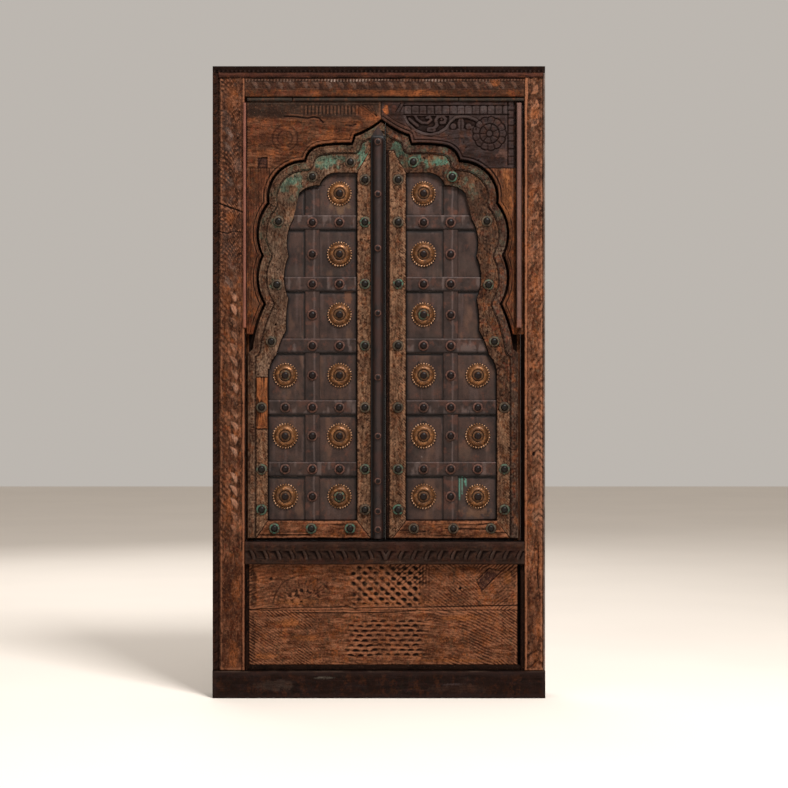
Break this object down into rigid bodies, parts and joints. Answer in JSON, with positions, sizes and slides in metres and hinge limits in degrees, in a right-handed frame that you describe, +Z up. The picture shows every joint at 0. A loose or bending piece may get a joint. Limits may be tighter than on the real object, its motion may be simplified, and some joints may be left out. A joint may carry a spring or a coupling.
{
  "type": "wooden window",
  "caption": "Carved timber window: two iron-clad studded leaves on wooden pivots under a cusped arch, in a carved frame with an apron panel and a sill.",
  "frame": {"origin": "on the floor plane under the middle of the sill, at the middle of its depth", "axes": "+X to the right seen from the carved front, +Y from the front to the back, +Z up"},
  "size_m": [1, 0.12, 1.9],
  "materials": {
    "dark_timber": "near-black old hardwood, matte",
    "carved_timber": "dark red-brown carved hardwood, worn and dry",
    "worn_timber": "orange-brown worn hardwood",
    "grey_timber": "dark grey-brown carved hardwood",
    "red_timber": "reddish hardwood bead",
    "apron_timber": "weathered brown hardwood with raised grain",
    "plain_timber": "plain aged hardwood",
    "border_timber": "grey-brown pitted hardwood with traces of green paint",
    "patch_timber": "newer orange-brown hardwood",
    "bar_timber": "dark smooth hardwood bar",
    "sheet_iron": "dark wrought iron sheet, matte with old rust",
    "strap_iron": "dark wrought iron strap",
    "stud_iron": "near-black forged iron",
    "rosette_brass": "worn golden brass"
  },
  "bodies": {
    "frame": {"apron_battens": "plain_timber", "apron_bottom_fillet": "dark_timber", "apron_lower_board": "apron_timber", "apron_side_fillets": "dark_timber", "apron_upper_board": "apron_timber", "bottom_sill": "dark_timber", "cap_fillet": "carved_timber", "frame_pegs": "plain_timber", "head_fillet": "grey_timber", "head_rail": "carved_timber", "left_bead_strip": "red_timber", "left_edge_strip": "dark_timber", "left_jamb": "carved_timber", "left_side_board": "worn_timber", "left_spandrel": "worn_timber", "right_bead_strip": "dark_timber", "right_edge_strip": "dark_timber", "right_jamb": "carved_timber", "right_side_board": "worn_timber", "right_spandrel": "grey_timber", "top_edge_strip": "dark_timber", "transom_bar": "dark_timber"},
    "left_leaf": {"left_leaf_arch_border": "border_timber", "left_leaf_boards": "plain_timber", "left_leaf_border_studs": "stud_iron", "left_leaf_bottom_rail": "border_timber", "left_leaf_cover_bar": "bar_timber", "left_leaf_cover_bar_studs": "stud_iron", "left_leaf_cusp_moulding": "border_timber", "left_leaf_hinge_stile": "plain_timber", "left_leaf_iron_sheets": "sheet_iron", "left_leaf_ledges": "plain_timber", "left_leaf_meeting_stile": "border_timber", "left_leaf_outer_stile": "border_timber", "left_leaf_rosette_nails": "stud_iron", "left_leaf_rosettes": "rosette_brass", "left_leaf_stile_patch": "patch_timber", "left_leaf_strap_studs": "stud_iron", "left_leaf_straps": "strap_iron", "left_leaf_upright_strap": "strap_iron"},
    "right_leaf": {"right_leaf_arch_border": "border_timber", "right_leaf_boards": "plain_timber", "right_leaf_border_studs": "stud_iron", "right_leaf_bottom_rail": "border_timber", "right_leaf_cusp_moulding": "border_timber", "right_leaf_hinge_stile": "plain_timber", "right_leaf_iron_sheets": "sheet_iron", "right_leaf_ledges": "plain_timber", "right_leaf_meeting_bead": "border_timber", "right_leaf_meeting_stile": "border_timber", "right_leaf_outer_stile": "border_timber", "right_leaf_rosette_nails": "stud_iron", "right_leaf_rosettes": "rosette_brass", "right_leaf_strap_studs": "stud_iron", "right_leaf_straps": "strap_iron", "right_leaf_upright_strap": "strap_iron"}
  },
  "joints": [
    {"name": "left_leaf_hinge", "type": "hinge", "parent": "frame", "child": "left_leaf", "pos_m": [-0.391, 0, 0.47], "axis": [0, 0, 1], "range_deg": [0, 90]},
    {"name": "right_leaf_hinge", "type": "hinge", "parent": "frame", "child": "right_leaf", "pos_m": [0.416, 0, 0.47], "axis": [0, 0, -1], "range_deg": [0, 90]}
  ]
}
